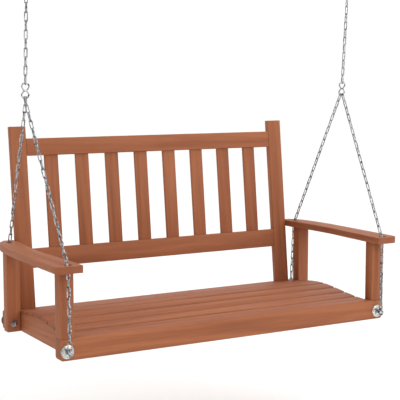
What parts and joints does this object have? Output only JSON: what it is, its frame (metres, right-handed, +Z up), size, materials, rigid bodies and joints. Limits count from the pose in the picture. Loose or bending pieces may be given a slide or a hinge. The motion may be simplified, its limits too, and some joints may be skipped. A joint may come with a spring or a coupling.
{
  "type": "porch swing",
  "caption": "Slatted timber bench seat with armrests and a reclined slatted back, hung at both ends on steel chains from ceiling plates.",
  "frame": {"origin": "on the ceiling plane, midway between the two ceiling plates", "axes": "+X to the swing's right end as seen from its front, +Y to the rear, +Z up; the swing faces -Y"},
  "size_m": [1.27, 0.6498, 1.2034],
  "materials": {
    "timber": "reddish-brown stain, satin, grain showing",
    "zinc_steel": "bright zinc plate"
  },
  "bodies": {
    "ceiling_plates": {"left_ceiling_plate": "zinc_steel", "right_ceiling_plate": "zinc_steel"},
    "hangers": {"left_s_hook": "zinc_steel", "right_s_hook": "zinc_steel"},
    "left_upper_chain": {"left_upper_chain": "zinc_steel"},
    "right_upper_chain": {"right_upper_chain": "zinc_steel"},
    "connecting_links": {"left_connecting_link": "zinc_steel", "right_connecting_link": "zinc_steel"},
    "bench": {"front_rail": "timber", "rear_rail": "timber", "left_side_rail": "timber", "right_side_rail": "timber", "middle_bearer": "timber", "seat_slat_1": "timber", "seat_slat_2": "timber", "seat_slat_3": "timber", "seat_slat_4": "timber", "seat_slat_5": "timber", "seat_slat_6": "timber", "seat_slat_7": "timber", "left_front_post": "timber", "left_rear_post": "timber", "left_armrest": "timber", "left_back_stile": "timber", "right_front_post": "timber", "right_rear_post": "timber", "right_armrest": "timber", "right_back_stile": "timber", "back_top_rail": "timber", "back_lower_rail": "timber", "back_slat_1": "timber", "back_slat_2": "timber", "back_slat_3": "timber", "back_slat_4": "timber", "back_slat_5": "timber", "back_slat_6": "timber", "back_slat_7": "timber", "back_slat_8": "timber", "left_front_eyebolt": "zinc_steel", "left_front_outer_washer": "zinc_steel", "left_front_inner_washer": "zinc_steel", "left_front_cap_nut": "zinc_steel", "left_rear_eyebolt": "zinc_steel", "left_rear_outer_washer": "zinc_steel", "left_rear_inner_washer": "zinc_steel", "left_rear_cap_nut": "zinc_steel", "right_front_eyebolt": "zinc_steel", "right_front_outer_washer": "zinc_steel", "right_front_inner_washer": "zinc_steel", "right_front_cap_nut": "zinc_steel", "right_rear_eyebolt": "zinc_steel", "right_rear_outer_washer": "zinc_steel", "right_rear_inner_washer": "zinc_steel", "right_rear_cap_nut": "zinc_steel", "left_front_chain": "zinc_steel", "left_rear_chain": "zinc_steel", "right_front_chain": "zinc_steel", "right_rear_chain": "zinc_steel"}
  },
  "joints": [
    {"name": "swing", "type": "hinge", "parent": "ceiling_plates", "child": "hangers", "pos_m": [0, 0, -0.0275], "axis": [1, 0, 0], "range_deg": [-30, 30]},
    {"name": "sway", "type": "hinge", "parent": "hangers", "child": "left_upper_chain", "pos_m": [-0.6, 0, -0.0568], "axis": [0, 1, 0], "range_deg": [-8, 8]},
    {"name": "right_chain_sway", "type": "hinge", "parent": "hangers", "child": "right_upper_chain", "pos_m": [0.6, 0, -0.0568], "axis": [0, 1, 0], "range_deg": [-8, 8]},
    {"name": "link_level", "type": "hinge", "parent": "left_upper_chain", "child": "connecting_links", "pos_m": [-0.6, 0, -0.3791], "axis": [0, 1, 0], "range_deg": [-8, 8]},
    {"name": "pitch", "type": "hinge", "parent": "connecting_links", "child": "bench", "pos_m": [0, 0, -0.4214], "axis": [1, 0, 0], "range_deg": [-15, 15]}
  ],
  "couplings": [
    {"joint": "right_chain_sway", "follows": "sway", "ratio": 1},
    {"joint": "link_level", "follows": "sway", "ratio": -1}
  ]
}
